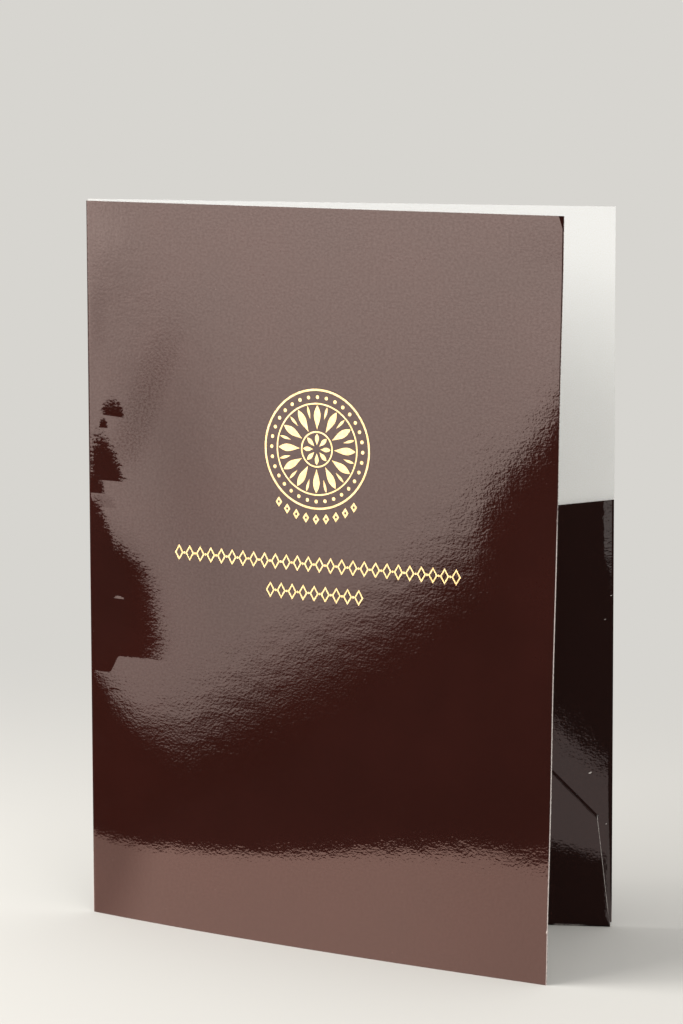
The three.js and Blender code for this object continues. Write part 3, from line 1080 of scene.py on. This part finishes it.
def stage_mesh(name, corners):
    """A flat stage piece with these corners, in folder coordinates."""
    mesh = bpy.data.meshes.new(name)
    mesh.from_pydata(to_row(corners), [], [list(range(len(corners)))])
    obj = bpy.data.objects.new(name, mesh)
    bpy.context.scene.collection.objects.link(obj)
    return obj


def glossy_only(obj):
    """Only glossy rays see this piece, and it lights nothing else."""
    obj.visible_camera = False
    obj.visible_diffuse = False
    obj.visible_shadow = False
    obj.visible_transmission = False
    obj.visible_volume_scatter = False


FLOOR_CORNERS = [(-9000, -4000, 0), (9000, -4000, 0), (9000, 25000, 0), (-9000, 25000, 0)]
floor = stage_mesh("floor", FLOOR_CORNERS)
floor.visible_glossy = False
f, surface = shader("floor")
ground_y = object_place(f).parts()[1]
surface.inputs["Base Color"].default_value = FLOOR_COLOUR
surface.inputs["Roughness"].default_value = 0.9
surface.inputs["Specular IOR Level"].default_value = 0.0
far_glow = f.node("Emission", {"Color": BACKDROP_COLOUR, "Strength": 1.0})
from_camera = f.node("LightPath", output=0)
far = ground_y.ramp(0.1, 0.7) * from_camera
whole = f.node("MixShader", {0: far, 1: Field(f.tree, surface.outputs[0]), 2: far_glow})
f.feed(f.tree.nodes["Material Output"], 0, whole)
floor.data.materials.append(bpy.data.materials["floor"])
print("floor reaches", FLOOR_CORNERS[2][1] * MM, "m behind the folder")

# %% [markdown]
# Gloss is only as good as what it mirrors. The real covers mirror a large soft lamp on the left,
# with a slanted lower edge, and the bright ground round the folder. Here they are faces that
# only glossy rays see, so that they add no light to the white inside. The softbox grows stronger
# with height and has a slightly darker seam.

# %%
# Softbox
WALL_X = -900
LAMP_TINT = (1.0, 0.79, 0.71, 1.0)
STRENGTH_LOW = 2.75
STRENGTH_HIGH = 5.15


def emitter(name, corners, colour, strength=1.0):
    """A glossy-only face of one strength. Gives its tree as a Field and its emission node."""
    obj = stage_mesh(name, corners)
    material = bpy.data.materials.new(name)
    material.use_nodes = True
    tree = material.node_tree
    tree.nodes.clear()
    glow = tree.nodes.new("ShaderNodeEmission")
    output = tree.nodes.new("ShaderNodeOutputMaterial")
    tree.links.new(glow.outputs[0], output.inputs[0])
    glow.inputs["Color"].default_value = colour
    glow.inputs["Strength"].default_value = strength
    obj.data.materials.append(material)
    glossy_only(obj)
    return Field(tree), glow


softbox_outline = [(-200, -220), (-700, -130), (-1000, -20), (-1900, 600), (-1900, 1600)]
softbox_outline += [(-200, 1600)]
f, glow = emitter("softbox", [(WALL_X, y, z) for y, z in softbox_outline], LAMP_TINT)
wall_y, wall_z = (part * TO_MM for part in object_place(f).parts()[1:])
wall_y = wall_y - float(ORIGIN[1]) * TO_MM
# The lower edge climbs towards the camera in three straight pieces, and again at its far end.
edge = (-wall_y - 509) * 0.307 - 124
edge = edge.most((-wall_y - 899) * 0.462 - 4).most((-wall_y - 992) * 1.13 + 39)
edge = edge.most((wall_y + 509) * 0.6 - 122).most(-110.0)
soft = (-wall_y).ramp(520, 800, 15, 34)
lower = ((wall_z - edge) / soft).ramp(-1, 1)
growth = f.node("MapRange", {0: wall_z, 1: -130, 2: 300, 3: STRENGTH_LOW, 4: STRENGTH_HIGH})
seam = (wall_y + 625) / 58
dark_seam = f.math("EXPONENT", -(seam * seam)) * wall_z.ramp(-60, 90, 0.0, 0.2)
dip = 1 - dark_seam * (230 - wall_z).ramp(0, 90)
near_band = wall_y.ramp(-662, -600) * wall_z.ramp(150, 230, 0.0, 0.17) + 1
f.feed(glow, "Strength", growth * dip * lower * near_band)
print("softbox corners", len(softbox_outline))

# %% [markdown]
# The mirrored ground differs in brightness: the front cover sees the lit part to its left, and
# the pocket sees the shaded part to its right. Each is a flat outline just above the floor. A
# small upright card brightens the fore edges.

# %%
# Mirrored ground
GROUND_RISE = 0.05
LIT_TINT = (1.0, 0.63, 0.52, 1.0)
SHADE_TINT = (1.0, 0.79, 0.75, 1.0)
EDGE_TINT = (1.0, 0.85, 0.8, 1.0)
CARD_TINT = (1.0, 0.9, 0.85, 1.0)


def ground_part(name, outline, colour, strength=1.0):
    """A part of the ground that only gloss mirrors."""
    return emitter(name, [(*p, GROUND_RISE) for p in outline], colour, strength)


SPINE_SLOPE = 0.55
left_edge = [(-150, 40), (-146, -40), (-128, -68), (-105, -84), (-92, -106), (-80, -126), (-70, -160)]
left_edge += [(-62, -205), (-46, -240), (-24, -278), (-14, -300), (40, -360), (150, -420)]
left_ground = left_edge + [(190, -300), (199.5, -93.6), (0, -0.8), (0, 40)]
f, glow = ground_part("table_left", left_ground, LIT_TINT)
ground_x, ground_y = (part * TO_MM for part in object_place(f).parts()[:2])
spine_shift = float(ORIGIN[1] - ORIGIN[0] * SPINE_SLOPE) * TO_MM
from_spine = ground_x * SPINE_SLOPE - ground_y + spine_shift
f.feed(glow, "Strength", from_spine.ramp(0, 32, 2.2, 3.6))
right_ground = [(180, -640), (227, -415), (235, -365), (243, -325), (249, -290), (229, -122), (218, -137)]
right_ground += [(208, -148), (170, -180)]
ground_part("table_right", right_ground, SHADE_TINT, 0.98)
fore_ground = [(249, -290), (262, 20), (220.6, 20), (220.6, -21), (229, -122)]
ground_part("table_fore", fore_ground, EDGE_TINT, 0.95)
side_card = [(400, -900, 8), (560, -900, 8), (560, -900, 60), (400, -900, 60)]
emitter("side_card", side_card, CARD_TINT, 1.4)

# %% [markdown]
# Soft light comes from the left and the front, with a weak fill from the right and one
# from above. Square area lamps give its soft shadows. The world adds an even pale light, is the
# backdrop for the camera, and is nearly black for gloss, which sees the faces above instead.

# %%
# Lamps and world
def area_lamp(name, place, target, size, power, colour=(1.0, 1.0, 1.0)):
    """A square lamp that looks from its place at a target, hidden from glossy rays."""
    data = bpy.data.lights.new(name, "AREA")
    data.size = size
    data.energy = power
    data.color = colour
    obj = bpy.data.objects.new(name, data)
    obj.location = row_vector(place)
    aim = row_vector(target) - obj.location
    obj.rotation_euler = aim.to_track_quat("-Z", "Y").to_euler()
    obj.visible_glossy = False
    bpy.context.scene.collection.objects.link(obj)


area_lamp("key", (-1400, -150, 800), (100, -50, 60), 0.7, 24)
area_lamp("front", (-1200, -800, 1100), (100, -50, 100), 0.9, 17.5)
area_lamp("fill", (700, -1500, 800), (200, 0, 150), 0.6, 4.2)
area_lamp("top", (300, -200, 1900), (100, 0, 0), 1.2, 12, (0.97, 0.98, 1.0))

WORLD_LIGHT = (0.53, 0.53, 0.54, 1.0)
WORLD_IN_GLOSS = (0.03, 0.03, 0.03, 1.0)
world = bpy.data.worlds.new("world")
bpy.context.scene.world = world
world.use_nodes = True
world.node_tree.nodes.clear()
w = Field(world.node_tree)
rays = w.node("LightPath").socket.node
is_camera = Field(w.tree, rays.outputs["Is Camera Ray"])
is_glossy = Field(w.tree, rays.outputs["Is Glossy Ray"])
seen = is_glossy.mix(WORLD_LIGHT, WORLD_IN_GLOSS)
seen = is_camera.mix(seen, BACKDROP_COLOUR)
sky = w.node("Background", {"Color": seen, "Strength": 1.0})
around = w.tree.nodes.new("ShaderNodeOutputWorld")
w.tree.links.new(sky.socket, around.inputs[0])
bpy.context.scene.view_settings.view_transform = "Standard"
